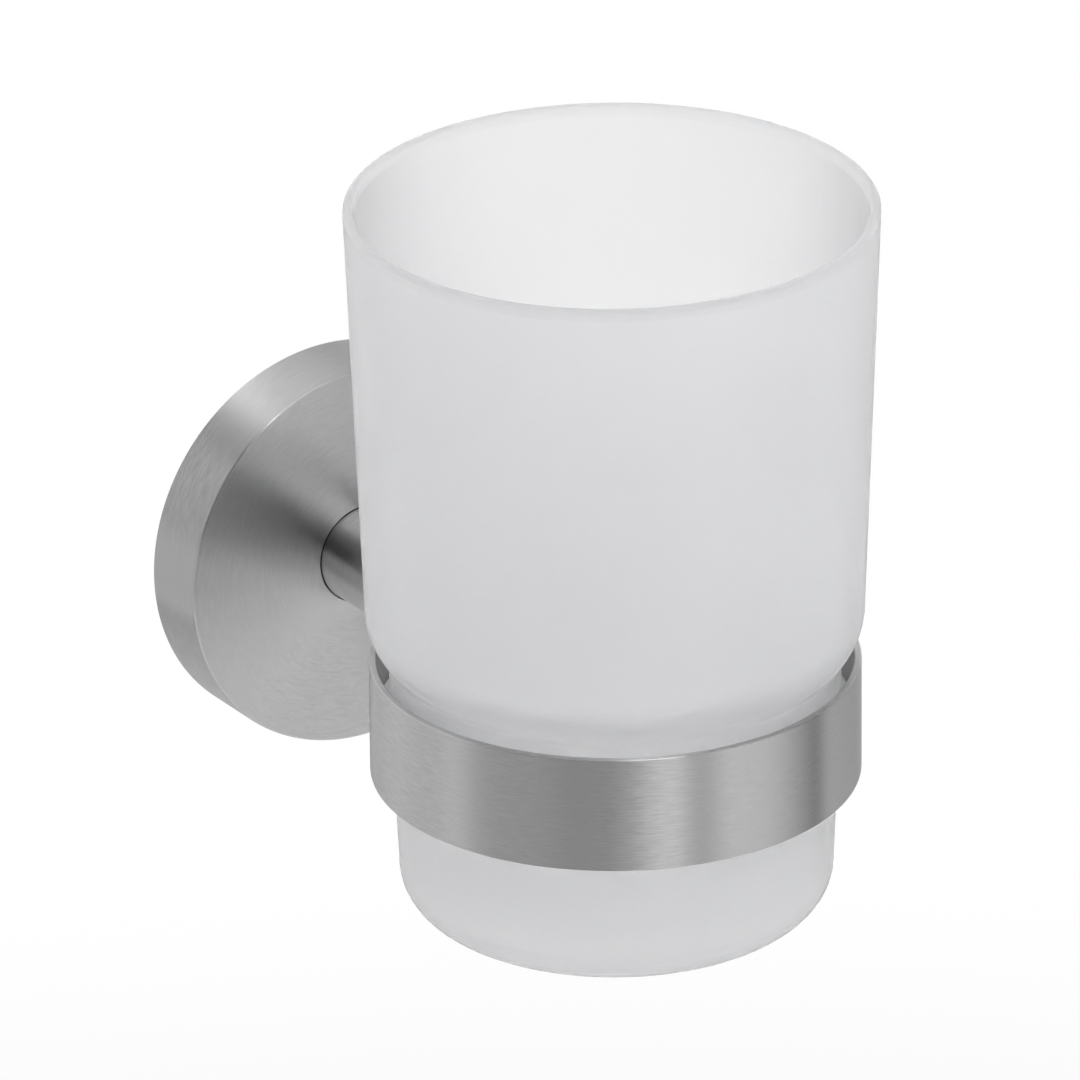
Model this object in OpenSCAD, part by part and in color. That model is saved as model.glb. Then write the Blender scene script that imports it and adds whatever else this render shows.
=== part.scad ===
// Wall-mounted glass toothbrush holder
//
// A frosted glass tumbler stands in a brushed steel ring on a short post. The post is bolted
// to a hub that hides inside a round rosette. The hub fits over a wall bracket, and one set
// screw from below wedges behind the bracket's undercut edge and draws the rosette to the wall.
//
// Millimetres. The origin is on the wall, on the axis of the post. +Z is up, +Y points into
// the wall, and the glass stands in front of the wall, towards -Y.

/* [Glass] */
// Outside diameter of the glass at its rim
glass_top_d = 70; // [60:0.5:85]
// Height of the wide part of the glass, from the foot of the shoulder to the rim
glass_upper_h = 63.5; // [40:0.5:90]
// Height of the narrow part of the glass, from its base to the foot of the shoulder
glass_lower_h = 36.5; // [28:0.5:50]
// Draft angle of the glass wall, on each side
glass_taper = 2.1; // [0.5:0.1:3]
// Wall of the glass below its rim
glass_wall = 2.4; // [1.8:0.1:3.5]
// Wall of the glass at its rounded rim
rim_wall = 1.4; // [1:0.1:2.4]
// Thickness of the base of the glass
glass_base_t = 5; // [3:0.5:8]
// How far the shoulder steps in, on the radius
shoulder_step = 2.75; // [1.5:0.05:4.5]
// Radius of the curve of the shoulder
shoulder_r = 8.9; // [7:0.1:12]
// Height of the foot of the shoulder above the ring
shoulder_lift = 1; // [0.5:0.1:4]
// Radius where the wall turns into the base, outside
base_r = 6.3; // [4:0.1:9]
// Diameter of the shallow hollow under the base
punt_d = 36; // [20:1:40]
// Depth of the hollow under the base
punt_h = 1; // [0.5:0.1:2]

/* [Ring] */
// Height of the holder ring
ring_h = 16; // [13:0.5:24]
// Wall of the holder ring
ring_wall = 1; // [0.8:0.1:2]
// Space between the ring and the narrow part of the glass, on the radius
ring_gap = 1.55; // [1.4:0.05:4]
// Radius of the broken edges of the ring
ring_edge_r = 0.25; // [0.1:0.05:0.35]

/* [Seat ring] */
// Height of the plastic seat ring
seat_h = 7.7; // [4:0.1:11]
// Height of the underside of the seat ring above the lower edge of the holder ring
seat_inset = 0.8; // [0.3:0.1:1.5]
// Lead-in chamfer at the mouth of the seat ring
seat_lead = 0.6; // [0.2:0.1:0.8]

/* [Post] */
// Diameter of the post
post_d = 13.5; // [12.5:0.1:16]
// Free length of the post, from the rosette to the ring
post_len = 28.5; // [20:0.5:60]
// Diameter of the spigot on the rear end of the post
spigot_d = 9.5; // [8.5:0.1:11]
// Width across the two flats of the spigot, which stop the post from turning
spigot_flats = 8; // [7.5:0.1:8.4]

/* [Rosette] */
// Diameter of the rosette
rosette_d = 54.5; // [52:0.5:70]
// Height of the rosette above the wall
rosette_h = 10; // [9.5:0.5:16]
// Sheet thickness of the rosette cap
cap_wall = 1; // [0.8:0.1:1.5]
// Radius of the outer front edge of the cap
cap_edge_r = 0.5; // [0.3:0.1:0.8]
// Thickness of the middle of the hub, behind the post
hub_web = 2.5; // [2:0.1:3]
// Wall of the hub's skirt, which holds the thread of the set screw
skirt_wall = 4.2; // [3.5:0.1:4.6]
// Space that keeps the hub's skirt off the wall
skirt_lift = 0.3; // [0.2:0.1:0.8]

/* [Wall bracket] */
// Thickness of the wall bracket
bracket_t = 6; // [5.5:0.1:6.4]
// Thickness of the bracket's front lip
bracket_lip = 1; // [0.6:0.1:1.4]
// Depth of the undercut behind the lip, which has a 45 degree slope
undercut = 3; // [2:0.1:3.2]
// Distance between the two wall screw holes
screw_spacing = 30; // [28:0.5:31]
// Diameter of the wall screw holes
screw_hole_d = 4.5; // [4:0.1:5]
// Diameter of the countersinks for the wall screws
sink_d = 8.4; // [7:0.1:9]

/* [Screws] */
// Thread diameter of the screw behind the post
bolt_d = 6; // [5:1:6]
// Length of that screw under its head
bolt_len = 14; // [10:1:20]
// Diameter of its head
bolt_head_d = 10.5; // [9.5:0.1:11]
// Height of its head
bolt_head_h = 3.3; // [2.5:0.1:3.6]
// Width across the flats of its hex socket
bolt_socket = 4; // [3:0.5:4]
// Depth of that socket
bolt_socket_depth = 2; // [1.2:0.1:2.2]
// Thickness of the split lock washer
washer_t = 1.2; // [0.8:0.1:1.4]
// Width of the washer's ring
washer_w = 2; // [1.2:0.1:2.2]
// Width of the split in the washer
washer_split = 0.9; // [0.5:0.1:1.5]
// Thread diameter of the set screw
set_d = 4; // [3:0.5:4.5]
// Distance of the axis of the set screw from the wall
set_y = 3.2; // [3:0.1:3.6]
// How far the set screw lies below the surface of the rosette
set_recess = 1; // [0.5:0.1:1.5]
// Width across the flats of the hex socket of the set screw
set_socket = 2; // [1.5:0.5:2]
// Depth of that socket
set_socket_depth = 2.2; // [1.5:0.1:2.5]

/* [Fits] */
// Radial space between the glass and the seat ring
glass_fit = 0.3; // [0.2:0.05:0.6]
// Radial space round parts that are pressed or glued together
snug_fit = 0.05; // [0.02:0.01:0.1]
// Radial space between the post and the hole in the cap, which shows as a dark line
post_fit = 0.25; // [0.1:0.05:0.4]
// Radial space between the bracket and the hub
bracket_fit = 0.3; // [0.2:0.05:0.5]
// Radial space in the screw threads
thread_fit = 0.05; // [0.03:0.01:0.1]
// Space between the tip of the set screw and the slope of the bracket
tip_fit = 0.4; // [0.3:0.05:0.6]

/* [Hidden] */

frosted = [0.86, 0.86, 0.87];
steel = [0.68, 0.68, 0.68];
bare_steel = [0.55, 0.56, 0.58];
zinc = [0.60, 0.61, 0.63];
seat_white = [0.82, 0.82, 0.80];

round_fn = 180;
small_fn = 64;
arc_n = 10;
edge_n = 4;
cut = 1;

// The glass. Heights are above the axis of the post, radii are about the glass's own axis.
neck_z = ring_h / 2 + shoulder_lift;
rim_z = neck_z + glass_upper_h;
base_z = neck_z - glass_lower_h;
floor_z = base_z + glass_base_t;
rim_r = rim_wall / 2;
rim_centre_z = rim_z - rim_r;
slope = tan(glass_taper);
neck_r = upper_r(neck_z) - shoulder_step;
crease = 0.8;
inner_crease = 1.6;
base_r_less = 1;
shoulder_bottom = shoulder(neck_r, neck_z, shoulder_r, glass_taper, upper_r(neck_z));
inner_neck_z = neck_z + glass_wall * tan((-shoulder_bottom[1] - glass_taper) / 2);
inner_neck_r = lower_r(inner_neck_z) - glass_wall;
inner_taper = atan((glass_top_d / 2 - rim_wall - upper_r(neck_z) + glass_wall) / (rim_centre_z - neck_z));
inner_upper_r = glass_top_d / 2 - rim_wall - tan(inner_taper) * (rim_centre_z - inner_neck_z);
inner_shoulder_r = shoulder_r - glass_wall;
inner_shoulder = shoulder(inner_neck_r, inner_neck_z, inner_shoulder_r, inner_taper, inner_upper_r);
inner_base_r = base_r - base_r_less;

// The ring and its seat
ring_ir = neck_r + ring_gap;
ring_or = ring_ir + ring_wall;
seat_z = seat_inset - ring_h / 2;
seat_top_z = seat_z + seat_h;
reach = rosette_h + post_len + ring_or;

// The rosette, hub and bracket. Depths are distances from the wall.
cap_ir = rosette_d / 2 - cap_wall;
cap_bend_r = 0.4;
hub_chamfer = 0.6;
bolt_head_space = 1;
bracket_bore_space = 2.3;
spigot_short = 0.4;
cap_bore_r = post_d / 2 + post_fit;
hub_or = cap_ir - snug_fit;
hub_front = rosette_h - cap_wall;
hub_web_y = hub_front - hub_web;
skirt_ir = hub_or - skirt_wall;
pocket_r = bolt_head_d / 2 + bolt_head_space;
bracket_r = skirt_ir - bracket_fit;
bracket_back_r = bracket_r - undercut;
bracket_bore_r = pocket_r + bracket_bore_space;
slope_front_y = bracket_t - bracket_lip;
slope_back_y = slope_front_y - undercut;

// The screws
spigot_len = hub_web - spigot_short;
bolt_edge_r = 0.6;
bolt_chamfer = 0.8;
tap_spare = 1.5;
drill_point_angle = 118;
washer_fit = 0.2;
set_hole_space = 0.6;
bolt_seat_y = hub_web_y - washer_t;
bolt_tip_y = bolt_seat_y + bolt_len;
bolt_bore_y = bolt_tip_y + tap_spare;
drill_point = bolt_d / 2 / tan(drill_point_angle / 2);
washer_ir = bolt_d / 2 + washer_fit;
set_hole_d = set_d + set_hole_space;
set_tip_r = 0.6;
set_out_r = rosette_d / 2 - set_recess;
set_tip_z = bracket_back_r + set_y + set_tip_r - slope_back_y + tip_fit;

// Outside radius of the wide part of the glass at a height
function upper_r(z) = glass_top_d / 2 - slope * (rim_centre_z - z);

// Outside radius of the narrow part of the glass at a height
function lower_r(z) = neck_r - slope * (neck_z - z);

// Points on an arc about c
function arc(c, r, a0, a1, n = arc_n) =
    [for (i = [0:n]) c + r * [cos(a0 + (a1 - a0) * i / n), sin(a0 + (a1 - a0) * i / n)]];

// Points on a quadratic curve that rounds the corner b
function soften(a, b, c, n = edge_n) =
    [for (i = [0:n]) let (t = i / n) (1 - t) * (1 - t) * a + 2 * t * (1 - t) * b + t * t * c];

// The shoulder is an arc of radius r that starts at the neck (rn, zn) and runs out tangent to
// a wall of draft t, whose radius at the neck's height is ru. Returns its centre and the angle
// at which it starts.
function shoulder(rn, zn, r, t, ru) =
    let (k = tan(t), d = rn - ru + r * cos(t))
    let (qa = 1 + k * k, qb = 2 * (r * sin(t) - d * k), qc = d * d - pow(r * cos(t), 2))
    let (u = (-qb + sqrt(qb * qb - 4 * qa * qc)) / (2 * qa))
    let (c = [ru + k * u - r * cos(t), zn + u + r * sin(t)])
    [c, atan2(zn - c[1], rn - c[0])];

// Centre of the fillet between a floor at height z and the narrow wall, set in by w
function foot_centre(z, r, w) =
    [lower_r(z + r - r * sin(glass_taper)) - w - r * cos(glass_taper), z + r];

// A rectangle from (x0, y0) to (x1, y1) with its corners rounded
function soft_rect(x0, y0, x1, y1, r) = concat(
    arc([x1 - r, y0 + r], r, -90, 0, edge_n),
    arc([x1 - r, y1 - r], r, 0, 90, edge_n),
    arc([x0 + r, y1 - r], r, 90, 180, edge_n),
    arc([x0 + r, y0 + r], r, 180, 270, edge_n));

// The outside of the glass from the axis under the base up to the rim
function glass_outside() =
    let (punt_r = (pow(punt_d / 2, 2) + punt_h * punt_h) / (2 * punt_h))
    let (punt_a = asin(punt_d / 2 / punt_r))
    let (foot = foot_centre(base_z, base_r, 0))
    let (neck = [neck_r, neck_z], below = neck_z - crease)
    let (c = shoulder_bottom[0], a = shoulder_bottom[1], da = crease / shoulder_r * 180 / PI)
    concat(
        arc([0, base_z + punt_h - punt_r], punt_r, 90, 90 - punt_a),
        arc(foot, base_r, -90, -glass_taper),
        soften([lower_r(below), below], neck, arc(c, shoulder_r, a + da, a, 1)[0]),
        arc(c, shoulder_r, a + 2 * da, -glass_taper),
        arc([glass_top_d / 2 - rim_r, rim_centre_z], rim_r, 0, 90));

// The inside of the glass from the rim down to the axis on the floor
function glass_inside() =
    let (foot = foot_centre(floor_z, inner_base_r, glass_wall))
    let (neck = [inner_neck_r, inner_neck_z], below = inner_neck_z - inner_crease)
    let (c = inner_shoulder[0], a = inner_shoulder[1])
    let (da = inner_crease / inner_shoulder_r * 180 / PI)
    concat(
        arc([glass_top_d / 2 - rim_r, rim_centre_z], rim_r, 90 + 90 / arc_n, 180),
        arc(c, inner_shoulder_r, -inner_taper, a + da + 2),
        soften(arc(c, inner_shoulder_r, a + da, a, 1)[0], neck, [lower_r(below) - glass_wall, below]),
        arc(foot, inner_base_r, -glass_taper, -90),
        [[0, floor_z]]);

// Children turn about the axis of the glass
module about_glass() {
    translate([0, -reach, 0]) children();
}

// The child's z becomes the distance from the wall
module off_wall(y = 0) {
    rotate([90, 0, 0]) translate([0, 0, y]) children();
}

module turned(points) {
    rotate_extrude($fn = round_fn) polygon(points);
}

// A rod straight down at the set screw's place, from radius r0 to r1 about the post's axis
module set_rod(d, r0, r1) {
    translate([0, -set_y, -r1]) cylinder(h = r1 - r0, d = d, $fn = small_fn);
}

// A hex socket, sunk from z = 0 downwards
module hex_socket(flats, depth) {
    translate([0, 0, -depth]) cylinder(h = depth + cut, d = flats / cos(30), $fn = 6);
}

// The post's rear spigot has two flats; the hub's hole follows it with space all round
module spigot(length, space) {
    intersection() {
        cylinder(h = length, r = spigot_d / 2 + space, $fn = small_fn);
        translate([-spigot_flats / 2 - space, -spigot_d, 0])
            cube([spigot_flats + 2 * space, 2 * spigot_d, length]);
    }
}

// Frosted tumbler with a rounded rim, a stepped shoulder and a hollow under its base
module glass_tumbler() {
    color(frosted)
    about_glass() turned(concat(glass_outside(), glass_inside()));
}

// Plastic ring with a tapered bore, in which the narrow part of the glass wedges
module seat_ring() {
    out_r = ring_ir - snug_fit;
    lead_z = seat_top_z - seat_lead;
    color(seat_white)
    about_glass() turned([
        [lower_r(seat_z) + glass_fit, seat_z],
        [out_r, seat_z],
        [out_r, seat_top_z],
        [lower_r(seat_top_z) + glass_fit + seat_lead, seat_top_z],
        [lower_r(lead_z) + glass_fit, lead_z]]);
}

// Flat steel band, welded to the front end of the post
module holder_ring() {
    color(steel)
    about_glass() turned(soft_rect(ring_ir, -ring_h / 2, ring_or, ring_h / 2, ring_edge_r));
}

// Round bar, coped to the ring in front, with a spigot and a tapped hole behind
module post() {
    color(steel)
    difference() {
        union() {
            off_wall(hub_front) cylinder(h = reach - hub_front - ring_ir, d = post_d, $fn = round_fn);
            off_wall(hub_front - spigot_len) spigot(spigot_len + cut, 0);
        }
        about_glass() cylinder(h = 2 * post_d, r = ring_or, center = true, $fn = round_fn);
        off_wall(hub_front - spigot_len - cut)
            cylinder(h = bolt_bore_y - hub_front + spigot_len + cut, d = bolt_d, $fn = small_fn);
        off_wall(bolt_bore_y) cylinder(h = drill_point, r1 = bolt_d / 2, r2 = 0, $fn = small_fn);
    }
}

// Drawn steel cap over the hub, with a hole for the post and one for the set screw
module rosette_cap() {
    r = rosette_d / 2;
    color(steel)
    difference() {
        off_wall() turned(concat(
            [[cap_ir, 0], [r, 0]],
            arc([r - cap_edge_r, rosette_h - cap_edge_r], cap_edge_r, 0, 90, edge_n),
            [[cap_bore_r, rosette_h], [cap_bore_r, hub_front]],
            arc([cap_ir - cap_bend_r, hub_front - cap_bend_r], cap_bend_r, 90, 0, edge_n)));
        set_rod(set_hole_d, cap_ir - cut, r + cut);
    }
}

// Die-cast hub inside the cap: the post is bolted to it, and its skirt fits over the wall bracket
module rosette_hub() {
    color(zinc)
    difference() {
        off_wall() turned([
            [0, hub_web_y],
            [pocket_r, hub_web_y],
            [pocket_r, bracket_t],
            [skirt_ir, bracket_t],
            [skirt_ir, skirt_lift],
            [hub_or, skirt_lift],
            [hub_or, hub_front - hub_chamfer],
            [hub_or - hub_chamfer, hub_front],
            [0, hub_front]]);
        off_wall(hub_web_y - cut) spigot(hub_web + 2 * cut, 2 * snug_fit);
        set_rod(set_d, skirt_ir - cut, hub_or + cut);
    }
}

// Low-head screw that clamps the post to the hub
module post_screw() {
    head_y = bolt_seat_y - bolt_head_h;
    color(bare_steel)
    off_wall() difference() {
        turned(concat(
            [[0, head_y]],
            arc([bolt_head_d / 2 - bolt_edge_r, head_y + bolt_edge_r], bolt_edge_r, -90, 0, edge_n),
            [[bolt_head_d / 2, bolt_seat_y],
            [bolt_d / 2 - thread_fit, bolt_seat_y],
            [bolt_d / 2 - thread_fit, bolt_tip_y - bolt_chamfer],
            [bolt_d / 2 - bolt_chamfer, bolt_tip_y],
            [0, bolt_tip_y]]));
        translate([0, 0, head_y]) mirror([0, 0, 1]) hex_socket(bolt_socket, bolt_socket_depth);
    }
}

// Split spring washer, pressed flat
module lock_washer() {
    color(bare_steel)
    off_wall(bolt_seat_y) difference() {
        cylinder(h = washer_t, r = washer_ir + washer_w, $fn = small_fn);
        translate([0, 0, -cut]) cylinder(h = washer_t + 2 * cut, r = washer_ir, $fn = small_fn);
        translate([0, -washer_split / 2, -cut])
            cube([2 * (washer_ir + washer_w), washer_split, washer_t + 2 * cut]);
    }
}

// Die-cast wall bracket with an undercut edge and two countersunk holes
module wall_bracket() {
    color(zinc)
    off_wall() difference() {
        turned([
            [bracket_bore_r, 0],
            [bracket_back_r, 0],
            [bracket_back_r, slope_back_y],
            [bracket_r, slope_front_y],
            [bracket_r, bracket_t],
            [bracket_bore_r, bracket_t]]);
        for (side = [-1, 1]) translate([side * screw_spacing / 2, 0, 0]) {
            translate([0, 0, -cut]) cylinder(h = bracket_t + 2 * cut, d = screw_hole_d, $fn = small_fn);
            translate([0, 0, bracket_t - (sink_d - screw_hole_d) / 2])
                cylinder(h = sink_d / 2, d1 = screw_hole_d, d2 = screw_hole_d + sink_d, $fn = small_fn);
        }
    }
}

// Hex socket set screw with a cone point, in the hub's skirt at the bottom
module set_screw() {
    r = set_d / 2 - thread_fit;
    tip = r - set_tip_r;
    color(bare_steel)
    translate([0, -set_y, -set_out_r]) difference() {
        union() {
            cylinder(h = set_out_r - set_tip_z - tip, r = r, $fn = small_fn);
            translate([0, 0, set_out_r - set_tip_z - tip])
                cylinder(h = tip, r1 = r, r2 = set_tip_r, $fn = small_fn);
        }
        mirror([0, 0, 1]) hex_socket(set_socket, set_socket_depth);
    }
}

glass_tumbler();
seat_ring();
holder_ring();
post();
rosette_cap();
rosette_hub();
post_screw();
lock_washer();
wall_bracket();
set_screw();
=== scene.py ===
"""Looks of the wall-mounted glass toothbrush holder.

A frosted glass tumbler stands in a brushed steel ring on a short post in front of a round
rosette. Metres, in the frame of the solids: the origin is on the wall on the axis of the post,
+Z is up and +Y points into the wall. Azimuths count from -Y towards +X.
"""

import math

import bpy
from mathutils import Matrix, Vector


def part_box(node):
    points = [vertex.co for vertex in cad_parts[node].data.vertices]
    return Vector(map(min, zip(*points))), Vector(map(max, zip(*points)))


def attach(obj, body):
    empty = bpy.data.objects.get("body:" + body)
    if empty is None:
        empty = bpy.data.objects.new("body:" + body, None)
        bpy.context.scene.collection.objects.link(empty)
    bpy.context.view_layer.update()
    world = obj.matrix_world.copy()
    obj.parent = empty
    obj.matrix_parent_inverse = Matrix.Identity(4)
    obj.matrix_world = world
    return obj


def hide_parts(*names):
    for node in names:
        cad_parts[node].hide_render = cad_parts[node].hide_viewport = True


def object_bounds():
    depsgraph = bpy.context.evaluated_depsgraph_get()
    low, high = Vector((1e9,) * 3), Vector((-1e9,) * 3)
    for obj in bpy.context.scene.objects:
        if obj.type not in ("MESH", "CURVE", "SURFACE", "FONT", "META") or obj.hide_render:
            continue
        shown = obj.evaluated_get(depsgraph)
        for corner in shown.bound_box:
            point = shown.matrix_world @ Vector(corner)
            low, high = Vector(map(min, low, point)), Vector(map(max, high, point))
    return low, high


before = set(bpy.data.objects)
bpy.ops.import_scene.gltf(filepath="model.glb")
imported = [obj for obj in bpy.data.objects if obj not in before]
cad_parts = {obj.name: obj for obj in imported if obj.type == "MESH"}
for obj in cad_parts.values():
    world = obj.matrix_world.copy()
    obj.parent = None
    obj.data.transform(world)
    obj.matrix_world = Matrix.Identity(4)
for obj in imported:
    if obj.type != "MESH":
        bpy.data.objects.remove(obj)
CAD_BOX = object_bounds()

# The axis of the glass and the ring
GLASS_AXIS_Y = -0.0710

# The camera, as the photograph has it
CAMERA_AZIMUTH = -33.49
CAMERA_ELEVATION = 24.42
CAMERA_ROLL = -0.57
CAMERA_DISTANCE = 1.7515
CAMERA_TARGET = Vector((-0.01168, GLASS_AXIS_Y, 0.02769))
SENSOR_WIDTH = 36
LENS = 446.6

# The floor, which lies below the object, as if the wall carried it: how white it shows in its
# middle, and the distance from which that goes to plain white at its edge
FLOOR_Z = -0.22
FLOOR_RADIUS = 0.42
FLOOR_SIDES = 96
FLOOR_COLOUR = (0.82, 0.82, 0.82)
FLOOR_WHITE_SHARE = 0.85
FLOOR_WHITE_FROM = 0.25

# Brightness of the floor as metal mirrors it, in front of the wall and behind it, and the
# distances behind the glass between which the one gives way to the other
FLOOR_TONE = 0.80
FLOOR_BACK_TONE = 0.35
FLOOR_BACK_FROM, FLOOR_BACK_TO = 0.15, 0.27

# Brightness of the room by azimuth: below and beside the object, above it, and high above it
LOW_TONES = (
    (-180, 0.55),
    (-150, 0.85),
    (-140, 0.80),
    (-125, 0.66),
    (-105, 0.72),
    (-85, 0.66),
    (-70, 0.60),
    (-50, 0.35),
    (-28, 0.12),
    (-15, 0.65),
    (-5, 0.80),
    (5, 0.75),
    (20, 1.45),
    (35, 1.25),
    (48, 1.00),
    (60, 0.62),
    (64, 0.50),
    (68, 0.05),
    (72, 0.05),
    (77, 0.70),
    (90, 0.55),
    (112, 0.50),
    (180, 0.55),
)
MID_TONES = (
    (-180, 0.95),
    (-150, 0.95),
    (-112, 1.05),
    (-98, 0.00),
    (-20, 0.00),
    (-8, 1.05),
    (3, 0.10),
    (18, 0.30),
    (40, 0.45),
    (58, 0.00),
    (66, 0.00),
    (78, 0.45),
    (112, 0.45),
    (135, 1.00),
    (160, 1.00),
    (180, 0.95),
)
HIGH_TONES = (
    (-180, 0.90),
    (-150, 0.95),
    (-105, 0.00),
    (-75, 0.00),
    (-15, 1.10),
    (15, 0.10),
    (60, 0.20),
    (90, 0.40),
    (135, 0.40),
    (180, 0.90),
)
TOP_TONE = 0.85

# The ramps hold all these tones as shares of this one
BRIGHTEST = 2.0

# Elevations in degrees at which one band of the room gives way to the next
MID_FROM, MID_TO = 0, 6
HIGH_FROM, HIGH_TO = 36, 44
TOP_FROM, TOP_TO = 56, 68

# Lamps: name, azimuth, elevation, distance, width, height, power in watts
LAMPS = (
    ("key", -12, 54, 1.0, 0.36, 0.10, 2.2),
)

# Base colours of the metals and the plastic
STEEL = (0.62, 0.62, 0.62)
SCREW_STEEL = (0.50, 0.51, 0.53)
ZINC = (0.58, 0.59, 0.61)
SEAT_GREY = (0.78, 0.78, 0.77)

# Brushed finish: length and width of the grain, how deep it is, and the part of the noise
# between its darkest and its lightest lines
GRAIN_LENGTH = 0.0025
GRAIN_WIDTH = 0.00017
GRAIN_DETAIL = 3.0
GRAIN_FINENESS = 0.6
GRAIN_RELIEF = 0.25
GRAIN_FROM, GRAIN_TO = 0.32, 0.68
BUMP_DISTANCE = 0.00002

# How much darker and lighter the lines are at full contrast, and the contrast of each piece
GRAIN_DARKER, GRAIN_LIGHTER = 0.10, 0.08
RING_CONTRAST = 1.0
CAP_CONTRAST = 0.6
POST_CONTRAST = 0.6

# Roughness, how far it varies, and how much wider light spreads across the lines
BRUSHED_ROUGHNESS = 0.375
BRUSHED_VARIATION = 0.05
BRUSHED_SPREAD = 1.0
QUARTER_TURN = 0.25

# Painted shade on the band's inner face and on its ends: how dark, and where that begins
INNER_SHADE_SHARE = 0.53
END_SHADE_SHARE = 0.80
END_SHADE_FROM = 0.8
RING_WALL = 0.001
INNER_SHADE_FROM, INNER_SHADE_TO = 0.00005, 0.00025

# Painted shade on the post within the hole of the cap: how dark, and the depth over which it
# darkens
GAP_SHADE_SHARE = 0.15
GAP_SHADE_FADE = 0.0001

# Roundings of the ring and the cap. They look crisper than they are: their normal turns within
# a narrow polished ridge, whose half width is a share of the rounding
RING_ROUNDING = 0.00025
CAP_ROUNDING = 0.0005
RING_RIDGE = 0.65
CAP_RIDGE = 0.85
EDGE_FROM = 0.02
EDGE_ROUGH_SHARE = 0.85
# The ridge's lighter steel is a painted highlight
EDGE_HIGHLIGHT_STEEL = (0.66, 0.66, 0.66)

# Glass: the two tones of its faint clouds, then painted light low on the wide wall and at the
# neck, and painted shade where it is seen at a slant, inside and on the rim
GLASS_CLEAR = (0.94, 0.94, 0.946)
GLASS_CLOUDED = (0.92, 0.92, 0.926)
GLASS_LOW_LIGHT = (0.97, 0.97, 0.976)
GLASS_SLANT_SHADE = (0.89, 0.89, 0.896)
GLASS_INSIDE_SHADE = (0.72, 0.72, 0.725)
GLASS_NECK_LIGHT = (0.99, 0.99, 0.996)
GLASS_RIM_SHADE = (0.88, 0.88, 0.886)
CLOUD_SCALE = 60.0
FROST_SCALE = 3000.0
FROST_RELIEF = 0.1
FROST_SMOOTH, FROST_ROUGH = 0.72, 0.82
GLASS_IOR = 1.5
GLASS_TRANSMISSION = 0.9

# Slants are Layer Weight facing values, and the heights of these zones are in metres
SLANT_BLEND = 0.5
OUTER_SLANT = (0.50, 0.90)
INNER_SLANT = (0.20, 0.80)
INNER_FACE = (-0.02, -0.01)
NECK_Z = 0.009
NECK_FROM, NECK_TO = 0.004, 0.010
LOW_FROM, LOW_TO = 0.020, 0.055
RIM_FROM, RIM_TO = 0.0708, 0.0712

# Machined, cast and moulded surfaces: a mottle in tone, roughness and relief
MOTTLE_SCALE = 900.0
MOTTLE_DETAIL = 3.0
MOTTLE_DARK_SHARE = 0.9
MOTTLE_VARIATION = 0.08
MOTTLE_RELIEF = 0.15
SCREW_ROUGHNESS = 0.35
ZINC_ROUGHNESS = 0.5
SEAT_ROUGHNESS = 0.5

# Between these values of a noise, roughness goes from its smoothest to its roughest
ROUGH_FROM, ROUGH_TO = 0.3, 0.7

# Screws: threads, whose crest and root each take a share of the slope, and sockets
MM = 0.001
SCREW_SIDES = 48
ROWS_PER_TURN = 10
THREAD_FLAT = 0.1
SET_SCREW = {
    "pitch": 0.7 * MM, "depth": 0.42 * MM, "flats": 2.0 * MM, "socket": 2.2 * MM,
    "drill": 0.6 * MM, "mouth": 0.45 * MM, "tip_radius": 0.6 * MM,
}
POST_SCREW = {
    "pitch": 1.0 * MM, "depth": 0.60 * MM, "flats": 4.0 * MM, "socket": 2.0 * MM,
    "drill": 1.2 * MM, "radius": 2.95 * MM, "head": 3.3 * MM, "head_edge": 0.6 * MM,
    "tip_radius": 2.2 * MM,
}


def toward(azimuth, elevation):
    """The unit vector from the object towards an azimuth and elevation in degrees."""
    a, e = math.radians(azimuth), math.radians(elevation)
    return Vector((math.sin(a) * math.cos(e), -math.cos(a) * math.cos(e), math.sin(e)))


def node(tree, kind, inputs=None, **settings):
    """Adds a node. An input is a plain value or another node's output socket."""
    made = tree.nodes.new(kind)
    for name, value in settings.items():
        setattr(made, name, value)
    for name, value in (inputs or {}).items():
        if isinstance(value, bpy.types.NodeSocket):
            tree.links.new(value, made.inputs[name])
        else:
            made.inputs[name].default_value = value
    return made


def calc(tree, operation, a, b=0.0, c=0.0):
    """The output of a Math node."""
    return node(tree, "ShaderNodeMath", {0: a, 1: b, 2: c}, operation=operation).outputs[0]


def vector_calc(tree, operation, a, b=None):
    """The vector that a Vector Math node makes of one or two, or of one and a number."""
    inputs = {0: a}
    if b is not None:
        inputs["Scale" if operation == "SCALE" else 1] = b
    return node(tree, "ShaderNodeVectorMath", inputs, operation=operation).outputs["Vector"]


def smooth_step(tree, value, low, high, to_low=0.0, to_high=1.0):
    """The value mapped smoothly from low..high to to_low..to_high."""
    return node(
        tree,
        "ShaderNodeMapRange",
        {"Value": value, "From Min": low, "From Max": high, "To Min": to_low, "To Max": to_high},
        interpolation_type="SMOOTHSTEP",
    ).outputs["Result"]


def mixed(tree, factor, a, b):
    """A colour between a and b, by the colour sockets of a Mix node."""
    made = node(tree, "ShaderNodeMix", {"Factor": factor}, data_type="RGBA")
    for socket, value in ((made.inputs[6], a), (made.inputs[7], b)):
        if isinstance(value, bpy.types.NodeSocket):
            tree.links.new(value, socket)
        else:
            socket.default_value = (*value, 1)
    return made.outputs[2]


def grey(level):
    return (level, level, level)


# Studio

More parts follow.
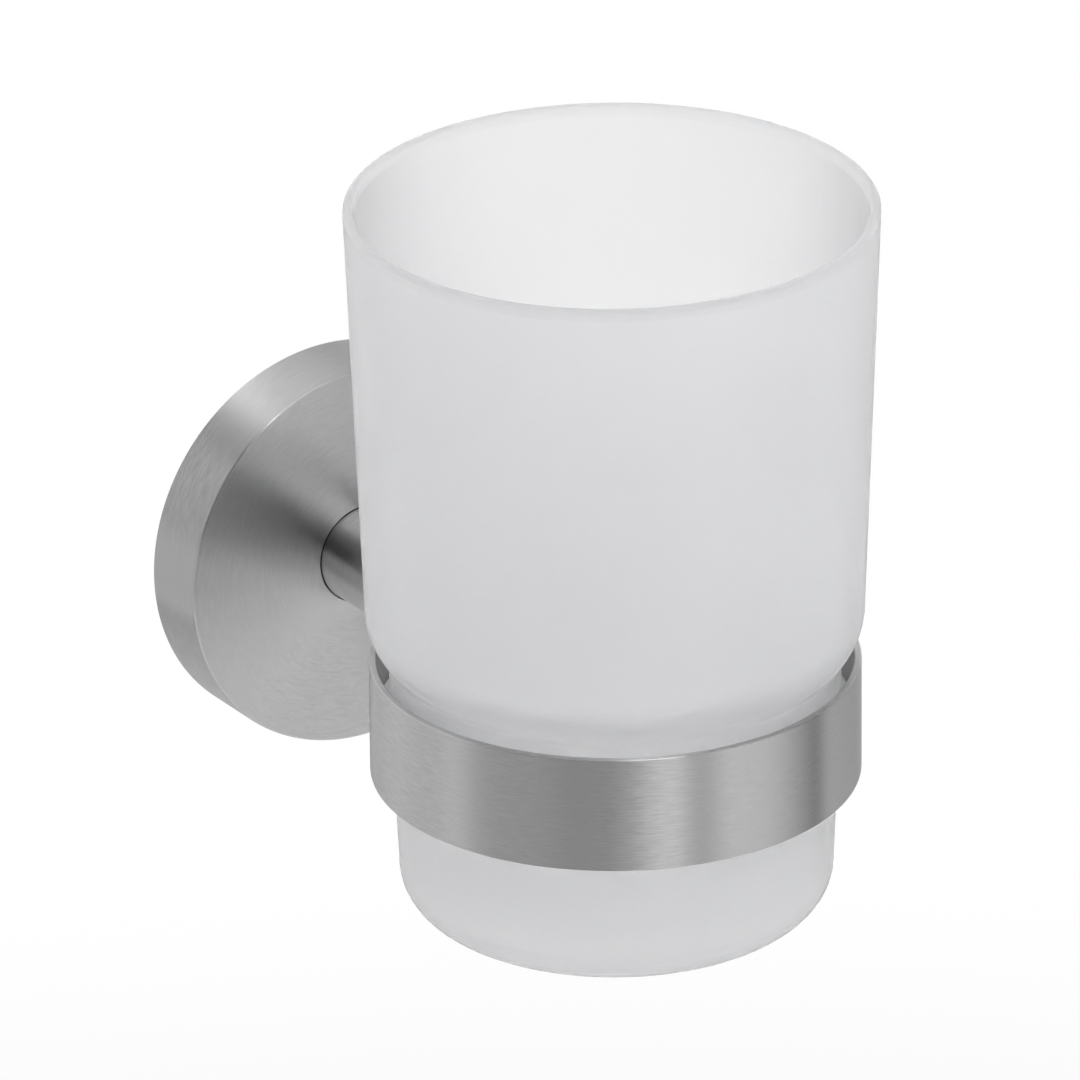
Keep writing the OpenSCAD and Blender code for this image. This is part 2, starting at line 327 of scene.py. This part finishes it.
def make_camera():
    back = toward(CAMERA_AZIMUTH, CAMERA_ELEVATION)
    right = (-back).cross(Vector((0, 0, 1))).normalized()
    turn = Matrix.Rotation(math.radians(CAMERA_ROLL), 3, back)
    right = turn @ right
    up = back.cross(right)
    data = bpy.data.cameras.new("camera")
    data.sensor_width = SENSOR_WIDTH
    data.lens = LENS
    camera = bpy.data.objects.new("camera", data)
    place = Matrix((right, up, back)).transposed().to_4x4()
    place.translation = CAMERA_TARGET + back * CAMERA_DISTANCE
    camera.matrix_world = place
    bpy.context.scene.collection.objects.link(camera)
    bpy.context.scene.camera = camera


def make_ramp(tree, share, tones):
    """Brightness by azimuth, where share runs from 0 at -180 degrees to 1 at 180."""
    ramp = node(tree, "ShaderNodeValToRGB", {"Fac": share})
    ramp.color_ramp.interpolation = "EASE"
    stops = ramp.color_ramp.elements
    while len(stops) < len(tones):
        stops.new(1.0)
    for stop, (azimuth, tone) in zip(stops, tones):
        stop.position = azimuth / 360 + 0.5
        stop.color = (*grey(tone / BRIGHTEST), 1)
    return ramp.outputs["Color"]


def make_world():
    """A room of soft panels. Cameras and rays through the glass see plain white."""
    world = bpy.data.worlds.new("studio")
    bpy.context.scene.world = world
    world.use_nodes = True
    tree = world.node_tree
    tree.nodes.clear()
    direction = node(tree, "ShaderNodeTexCoord").outputs["Generated"]
    x, y, z = node(tree, "ShaderNodeSeparateXYZ", {0: direction}).outputs
    azimuth = calc(tree, "ARCTAN2", x, calc(tree, "MULTIPLY", y, -1.0))
    share = calc(tree, "MULTIPLY_ADD", azimuth, 0.5 / math.pi, 0.5)
    level = make_ramp(tree, share, LOW_TONES)
    for low, high, tones in (
        (MID_FROM, MID_TO, MID_TONES),
        (HIGH_FROM, HIGH_TO, HIGH_TONES),
        (TOP_FROM, TOP_TO, None),
    ):
        above = smooth_step(tree, z, math.sin(math.radians(low)), math.sin(math.radians(high)))
        band = make_ramp(tree, share, tones) if tones else grey(TOP_TONE / BRIGHTEST)
        level = mixed(tree, above, level, band)
    studio = node(tree, "ShaderNodeBackground", {"Color": level, "Strength": BRIGHTEST})
    white = node(tree, "ShaderNodeBackground", {"Color": (1, 1, 1, 1)})
    path = node(tree, "ShaderNodeLightPath").outputs
    seen = calc(tree, "MAXIMUM", path["Is Camera Ray"], path["Is Transmission Ray"])
    shown = node(
        tree, "ShaderNodeMixShader", {0: seen, 1: studio.outputs[0], 2: white.outputs[0]}
    )
    node(tree, "ShaderNodeOutputWorld", {"Surface": shown.outputs[0]})


def make_lamps():
    middle = (CAD_BOX[0] + CAD_BOX[1]) / 2
    for name, azimuth, elevation, distance, width, height, watts in LAMPS:
        data = bpy.data.lights.new(name, "AREA")
        data.shape = "RECTANGLE"
        data.size = width
        data.size_y = height
        data.energy = watts
        lamp = bpy.data.objects.new(name, data)
        aim = toward(azimuth, elevation)
        lamp.location = middle + aim * distance
        lamp.rotation_euler = aim.to_track_quat("Z", "Y").to_euler()
        bpy.context.scene.collection.objects.link(lamp)


def circle(radius, z, sides):
    """Points round the Z axis, anticlockwise from +X."""
    angles = [2 * math.pi * i / sides for i in range(sides)]
    return [Vector((radius * math.cos(a), radius * math.sin(a), z)) for a in angles]


def make_floor():
    """A pale round table top, which from below is clear."""
    mesh = bpy.data.meshes.new("floor")
    mesh.from_pydata(circle(FLOOR_RADIUS, 0, FLOOR_SIDES), [], [list(range(FLOOR_SIDES))])
    floor = bpy.data.objects.new("floor", mesh)
    floor.location = (0, GLASS_AXIS_Y, FLOOR_Z)
    bpy.context.scene.collection.objects.link(floor)
    material = bpy.data.materials.new("floor")
    material.use_nodes = True
    tree = material.node_tree
    tree.nodes.clear()
    path = node(tree, "ShaderNodeLightPath").outputs
    matt = node(tree, "ShaderNodeBsdfDiffuse", {"Color": (*FLOOR_COLOUR, 1)})
    white = node(tree, "ShaderNodeEmission", {"Color": (1, 1, 1, 1), "Strength": 1.0})
    seen = calc(tree, "MAXIMUM", path["Is Camera Ray"], path["Is Transmission Ray"])
    spot = node(tree, "ShaderNodeTexCoord").outputs["Object"]
    far = node(tree, "ShaderNodeVectorMath", {0: spot}, operation="LENGTH").outputs["Value"]
    fade = smooth_step(tree, far, FLOOR_WHITE_FROM, FLOOR_RADIUS, FLOOR_WHITE_SHARE, 1.0)
    back = node(tree, "ShaderNodeSeparateXYZ", {0: spot}).outputs["Y"]
    tone = smooth_step(tree, back, FLOOR_BACK_FROM, FLOOR_BACK_TO, FLOOR_TONE, FLOOR_BACK_TONE)
    mirrored = node(tree, "ShaderNodeEmission", {"Color": (1, 1, 1, 1), "Strength": tone})
    base = node(
        tree,
        "ShaderNodeMixShader",
        {0: path["Is Glossy Ray"], 1: matt.outputs[0], 2: mirrored.outputs[0]},
    )
    lit = node(
        tree,
        "ShaderNodeMixShader",
        {0: calc(tree, "MULTIPLY", seen, fade), 1: base.outputs[0], 2: white.outputs[0]},
    )
    clear = node(tree, "ShaderNodeBsdfTransparent")
    below = node(tree, "ShaderNodeNewGeometry").outputs["Backfacing"]
    shown = node(tree, "ShaderNodeMixShader", {0: below, 1: lit.outputs[0], 2: clear.outputs[0]})
    node(tree, "ShaderNodeOutputMaterial", {"Surface": shown.outputs[0]})
    mesh.materials.append(material)


# Materials

def rough_by(tree, pattern, roughness, variation):
    """A roughness that varies with a noise pattern."""
    return smooth_step(
        tree, pattern, ROUGH_FROM, ROUGH_TO, roughness - variation, roughness + variation
    )


def new_material(name):
    """A material with an empty tree and a Principled node. Returns all three."""
    material = bpy.data.materials.new(name)
    material.use_nodes = True
    tree = material.node_tree
    tree.nodes.clear()
    shader = node(tree, "ShaderNodeBsdfPrincipled")
    node(tree, "ShaderNodeOutputMaterial", {"Surface": shader.outputs["BSDF"]})
    return material, tree, shader


def noise(tree, where, scale=1.0, detail=2.0, roughness=0.5):
    """A cloudy pattern from 0 to 1."""
    return node(
        tree,
        "ShaderNodeTexNoise",
        {"Vector": where, "Scale": scale, "Detail": detail, "Roughness": roughness},
    ).outputs["Fac"]


def bump(tree, shader, height, strength, normal=None):
    """Lets a height pattern tilt the shader's surface, or a normal of its own."""
    inputs = {"Strength": strength, "Distance": BUMP_DISTANCE, "Height": height}
    if normal:
        inputs["Normal"] = normal
    made = node(tree, "ShaderNodeBump", inputs)
    tree.links.new(made.outputs[0], shader.inputs["Normal"])


def around(tree, axis, middle):
    """A place on the object, measured from an axis through a middle point.

    Returns the way out from the axis and the way along it, as vectors, then the length of the
    first and the length of the second with its sign.
    """
    spot = node(tree, "ShaderNodeTexCoord").outputs["Object"]
    offset = vector_calc(tree, "SUBTRACT", spot, middle)
    out = vector_calc(tree, "MULTIPLY", offset, (1, 1, 0) if axis == "Z" else (1, 0, 1))
    along = vector_calc(tree, "SUBTRACT", offset, out)
    radius = node(tree, "ShaderNodeVectorMath", {0: out}, operation="LENGTH").outputs["Value"]
    height = node(tree, "ShaderNodeSeparateXYZ", {0: offset}).outputs[axis]
    return out, along, radius, height


def crisp_edge(tree, edge, out, along, radius, height):
    """A rounded edge that looks crisp, since its normal turns within a narrow ridge.

    An edge has a radius, a height, a rounding and the ridge's half width as a share of it.
    Returns the normal and the share of ridge.
    """
    edge_radius, edge_height, rounding, ridge_half = edge
    outward = smooth_step(tree, radius, edge_radius - rounding, edge_radius)
    upward = smooth_step(tree, height, edge_height - rounding, edge_height)
    turn = smooth_step(tree, calc(tree, "SUBTRACT", upward, outward), -ridge_half, ridge_half)
    side_normal = vector_calc(tree, "NORMALIZE", out)
    face_normal = vector_calc(tree, "NORMALIZE", along)
    turned = vector_calc(
        tree,
        "ADD",
        vector_calc(tree, "SCALE", side_normal, calc(tree, "SUBTRACT", 1.0, turn)),
        vector_calc(tree, "SCALE", face_normal, turn),
    )
    on_edge = smooth_step(tree, outward, 0.0, EDGE_FROM)
    own = node(tree, "ShaderNodeNewGeometry").outputs["Normal"]
    mesh_share = calc(tree, "SUBTRACT", 1.0, on_edge)
    normal = vector_calc(
        tree,
        "ADD",
        vector_calc(tree, "SCALE", vector_calc(tree, "NORMALIZE", turned), on_edge),
        vector_calc(tree, "SCALE", own, mesh_share),
    )
    # turn * (1 - turn) is a quarter at most, so four times that is 1 on top of the ridge
    between = calc(tree, "MULTIPLY", turn, calc(tree, "SUBTRACT", 1.0, turn))
    ridge = calc(tree, "MULTIPLY", on_edge, calc(tree, "MULTIPLY", between, 4.0))
    return vector_calc(tree, "NORMALIZE", normal), ridge


def brushed_steel(name, axis, middle, contrast, edge=None, hole=None, buried=None):
    """Steel brushed round an axis. Its contrast says how much the brush lines show.

    An edge is polished, and is given as crisp_edge has it; its ridge has lighter steel, a painted
    highlight. Inside a hole and on the ends round it the steel is darker, a painted shade. Up to a
    buried height the surface lies in a gap and is darker, a painted shade.
    """
    material, tree, shader = new_material(name)
    out, along, radius, height = around(tree, axis, middle)
    height = calc(tree, "ABSOLUTE", height)
    x, y, z = node(tree, "ShaderNodeSeparateXYZ", {0: out}).outputs
    grain_at = node(
        tree,
        "ShaderNodeCombineXYZ",
        {
            0: calc(tree, "MULTIPLY", x, 1 / GRAIN_LENGTH),
            1: calc(tree, "MULTIPLY", y if axis == "Z" else z, 1 / GRAIN_LENGTH),
            2: calc(tree, "MULTIPLY", calc(tree, "ADD", radius, height), 1 / GRAIN_WIDTH),
        },
    ).outputs[0]
    grain = noise(tree, grain_at, detail=GRAIN_DETAIL, roughness=GRAIN_FINENESS)
    tone = smooth_step(tree, grain, GRAIN_FROM, GRAIN_TO)
    dark, light = 1 - GRAIN_DARKER * contrast, 1 + GRAIN_LIGHTER * contrast
    colour = mixed(tree, tone, [dark * c for c in STEEL], [light * c for c in STEEL])
    rough = rough_by(tree, grain, BRUSHED_ROUGHNESS, BRUSHED_VARIATION)
    relief, normal = GRAIN_RELIEF, None
    if edge:
        normal, ridge = crisp_edge(tree, edge, out, along, radius, height)
        relief = smooth_step(tree, ridge, 0.0, 1.0, GRAIN_RELIEF, 0.0)
        smoother = smooth_step(tree, ridge, 0.0, 1.0, 1.0, EDGE_ROUGH_SHARE)
        rough = calc(tree, "MULTIPLY", rough, smoother)
        # Painted highlight: lighter steel on the ridge brightens what it reflects
        colour = mixed(tree, ridge, colour, EDGE_HIGHLIGHT_STEEL)
    # Painted shade: the steel is darker inside the hole and on the ends round it
    if hole:
        unshaded = smooth_step(tree, radius, hole + INNER_SHADE_FROM, hole + INNER_SHADE_TO)
        edge_height, rounding = edge[1:3]
        end_from = edge_height - (1 - END_SHADE_FROM) * rounding
        end_shade = smooth_step(tree, height, end_from, edge_height)
        colour = mixed(tree, end_shade, colour, [END_SHADE_SHARE * c for c in STEEL])
        colour = mixed(tree, unshaded, [INNER_SHADE_SHARE * c for c in STEEL], colour)
    # Painted shade: the post is darker where it lies in the gap
    if buried:
        open_air = smooth_step(tree, height, buried - GAP_SHADE_FADE, buried)
        colour = mixed(tree, open_air, [GAP_SHADE_SHARE * c for c in STEEL], colour)
    tree.links.new(colour, shader.inputs["Base Color"])
    tree.links.new(rough, shader.inputs["Roughness"])
    shader.inputs["Metallic"].default_value = 1.0
    shader.inputs["Anisotropic"].default_value = BRUSHED_SPREAD
    shader.inputs["Anisotropic Rotation"].default_value = QUARTER_TURN
    tangent = node(tree, "ShaderNodeTangent", direction_type="RADIAL", axis=axis)
    tree.links.new(tangent.outputs[0], shader.inputs["Tangent"])
    bump(tree, shader, grain, relief, normal=normal)
    return material


def frosted_glass():
    """Satin glass, clouded very slightly.

    Painted light makes it lighter low on the wide wall and round the neck, and painted shade
    makes it darker at a slant, inside and on the rim.
    """
    material, tree, shader = new_material("frosted_glass")
    spot = node(tree, "ShaderNodeTexCoord").outputs["Object"]
    cloud = noise(tree, spot, scale=CLOUD_SCALE)
    clear = mixed(tree, cloud, GLASS_CLOUDED, GLASS_CLEAR)
    out, _, _, height = around(tree, "Z", (0, GLASS_AXIS_Y, 0))
    # Painted light: lighter low on the wide wall, above the neck
    above = smooth_step(tree, height, NECK_Z - NECK_FROM, NECK_Z)
    low = calc(tree, "MULTIPLY", above, smooth_step(tree, height, LOW_FROM, LOW_TO, 1.0, 0.0))
    clear = mixed(tree, low, clear, GLASS_LOW_LIGHT)
    # Painted shade: darker where the glass is seen at a slant
    facing = node(tree, "ShaderNodeLayerWeight", {"Blend": SLANT_BLEND}).outputs["Facing"]
    slanted = smooth_step(tree, facing, *OUTER_SLANT)
    colour = mixed(tree, slanted, clear, GLASS_SLANT_SHADE)
    # Painted shade: the inner face is darker where it is seen at a slant
    normal = node(tree, "ShaderNodeNewGeometry").outputs["Normal"]
    outward = node(
        tree, "ShaderNodeVectorMath", {0: normal, 1: out}, operation="DOT_PRODUCT"
    ).outputs["Value"]
    inside = smooth_step(tree, outward, *INNER_FACE, 1.0, 0.0)
    inward = vector_calc(tree, "NORMALIZE", vector_calc(tree, "SCALE", out, -1.0))
    inner_facing = node(
        tree, "ShaderNodeLayerWeight", {"Blend": SLANT_BLEND, "Normal": inward}
    ).outputs["Facing"]
    deep = calc(tree, "MULTIPLY", inside, smooth_step(tree, inner_facing, *INNER_SLANT))
    colour = mixed(tree, deep, colour, GLASS_INSIDE_SHADE)
    # Painted light: lighter round the neck
    away = calc(tree, "ABSOLUTE", calc(tree, "SUBTRACT", height, NECK_Z))
    off_neck = smooth_step(tree, away, NECK_FROM, NECK_TO)
    colour = mixed(tree, off_neck, GLASS_NECK_LIGHT, colour)
    # Painted shade: darker on the rim
    on_rim = smooth_step(tree, height, RIM_FROM, RIM_TO)
    colour = mixed(tree, on_rim, colour, GLASS_RIM_SHADE)
    frost = noise(tree, spot, scale=FROST_SCALE)
    rough = smooth_step(tree, frost, ROUGH_FROM, ROUGH_TO, FROST_SMOOTH, FROST_ROUGH)
    tree.links.new(colour, shader.inputs["Base Color"])
    tree.links.new(rough, shader.inputs["Roughness"])
    shader.inputs["IOR"].default_value = GLASS_IOR
    shader.inputs["Transmission Weight"].default_value = GLASS_TRANSMISSION
    bump(tree, shader, frost, FROST_RELIEF)
    return material


def plain_material(name, colour, roughness, metallic):
    """A machined, cast or moulded surface with a fine mottle."""
    material, tree, shader = new_material(name)
    spot = node(tree, "ShaderNodeTexCoord").outputs["Object"]
    mottle = noise(tree, spot, scale=MOTTLE_SCALE, detail=MOTTLE_DETAIL)
    tone = mixed(tree, mottle, [MOTTLE_DARK_SHARE * c for c in colour], colour)
    rough = rough_by(tree, mottle, roughness, MOTTLE_VARIATION)
    tree.links.new(tone, shader.inputs["Base Color"])
    tree.links.new(rough, shader.inputs["Roughness"])
    shader.inputs["Metallic"].default_value = metallic
    bump(tree, shader, mottle, MOTTLE_RELIEF)
    return material


# Screws

def hexagon(flats, z):
    """As many points as a screw has round it, on a hexagon with a corner on +X."""
    points = circle(1, 0, SCREW_SIDES)
    for i, point in enumerate(points):
        from_flat = math.radians(360 * i / SCREW_SIDES % 60 - 30)
        point *= flats / 2 / math.cos(from_flat)
        point.z = z
    return points


def threaded(radius_at, pitch, depth, z_from, z_to):
    """Rows of a right-hand thread. Its crests follow radius_at, a function of z."""
    rows = []
    count = math.ceil((z_to - z_from) / pitch * ROWS_PER_TURN)
    for k in range(count + 1):
        z = z_from + (z_to - z_from) * k / count
        row = circle(1, z, SCREW_SIDES)
        for i, point in enumerate(row):
            slope = abs(2 * ((z / pitch - i / SCREW_SIDES) % 1) - 1)
            share = min(1, max(0, (slope - THREAD_FLAT) / (1 - 2 * THREAD_FLAT)))
            radius = min(radius_at(z), radius_at(z_from) - depth * share)
            point.x *= radius
            point.y *= radius
        rows.append(row)
    return rows


def screw(name, body, cad_node, rows, drill, spot, material):
    """Makes a screw from rows of points, from the floor of its socket to its tip.

    The middle of the socket's floor lies deeper by the drill's point.
    """
    count = len(rows[0])
    points = [point for row in rows for point in row]
    points += [sum(row, Vector()) / count for row in (rows[0], rows[-1])]
    points[-2].z += drill
    faces = []
    last = (len(rows) - 1) * count
    for i in range(count):
        j = (i + 1) % count
        for k in range(0, last, count):
            faces.append((k + i, k + j, k + count + j, k + count + i))
        faces.append((len(points) - 2, j, i))
        faces.append((len(points) - 1, last + i, last + j))
    mesh = bpy.data.meshes.new(name)
    mesh.from_pydata([spot @ point for point in points], [], faces)
    mesh.materials.append(material)
    piece = bpy.data.objects.new(name, mesh)
    bpy.context.scene.collection.objects.link(piece)
    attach(piece, body)
    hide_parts(cad_node)


def make_set_screw(material):
    """The set screw, with its thread, socket and cone point, from below."""
    low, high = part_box("set_screw")
    size = SET_SCREW
    radius = (high.x - low.x) / 2
    length = high.z - low.z
    cone_at = length - (radius - size["tip_radius"])
    rows = [
        hexagon(size["flats"], size["socket"]),
        hexagon(size["flats"], 0),
        circle(radius - size["mouth"], 0, SCREW_SIDES),
        *threaded(
            lambda z: min(radius, radius - size["mouth"] + z, radius - (z - cone_at)),
            size["pitch"], size["depth"], size["mouth"], cone_at + size["depth"],
        ),
        circle(size["tip_radius"], length, SCREW_SIDES),
    ]
    middle = (low + high) / 2
    spot = Matrix.Translation((middle.x, middle.y, low.z))
    drill = size["drill"]
    screw("threaded_set_screw", "grub_screw", "set_screw", rows, drill, spot, material)


def make_post_screw(material):
    """The screw that holds the post from behind, with its low head towards the wall."""
    low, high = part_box("post_screw")
    size = POST_SCREW
    head_radius = (high.x - low.x) / 2
    length = high.y - low.y
    edge, radius = size["head_edge"], size["radius"]
    rounding = [math.radians(angle) for angle in range(0, 91, 15)]
    rows = [
        hexagon(size["flats"], size["socket"]),
        hexagon(size["flats"], 0),
        *[
            circle(head_radius - edge + edge * math.sin(a), edge - edge * math.cos(a), SCREW_SIDES)
            for a in rounding
        ],
        circle(head_radius, size["head"], SCREW_SIDES),
        circle(radius, size["head"], SCREW_SIDES),
        *threaded(
            lambda z: min(radius, size["tip_radius"] + length - z),
            size["pitch"], size["depth"], size["head"] + size["pitch"], length,
        ),
    ]
    middle = (low + high) / 2
    spot = Matrix.Translation((middle.x, high.y, middle.z)) @ Matrix.Rotation(math.pi / 2, 4, "X")
    drill = size["drill"]
    screw("threaded_post_screw", "holder", "post_screw", rows, drill, spot, material)


make_camera()
make_world()
make_lamps()
make_floor()

ring_low, ring_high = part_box("holder_ring")
ring_radius = (ring_high.x - ring_low.x) / 2
cap_low, cap_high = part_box("rosette_cap")
screw_steel = plain_material("screw_steel", SCREW_STEEL, SCREW_ROUGHNESS, 1.0)
zinc = plain_material("cast_zinc", ZINC, ZINC_ROUGHNESS, 1.0)
finishes = {
    "glass_tumbler": frosted_glass(),
    "holder_ring": brushed_steel(
        "brushed_ring", "Z", (ring_low + ring_high) / 2, RING_CONTRAST,
        edge=(ring_radius, ring_high.z, RING_ROUNDING, RING_RIDGE),
        hole=ring_radius - RING_WALL,
    ),
    "post": brushed_steel("brushed_post", "Y", (0, 0, 0), POST_CONTRAST, buried=-cap_low.y),
    "rosette_cap": brushed_steel(
        "brushed_cap", "Y", (0, 0, 0), CAP_CONTRAST,
        edge=(cap_high.x, -cap_low.y, CAP_ROUNDING, CAP_RIDGE),
    ),
    "seat_ring": plain_material("seat_plastic", SEAT_GREY, SEAT_ROUGHNESS, 0.0),
    "rosette_hub": zinc,
    "wall_bracket": zinc,
    "lock_washer": screw_steel,
}
for name, material in finishes.items():
    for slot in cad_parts[name].material_slots:
        slot.material = material
make_set_screw(screw_steel)
make_post_screw(screw_steel)

bpy.context.scene.view_settings.view_transform = "Standard"
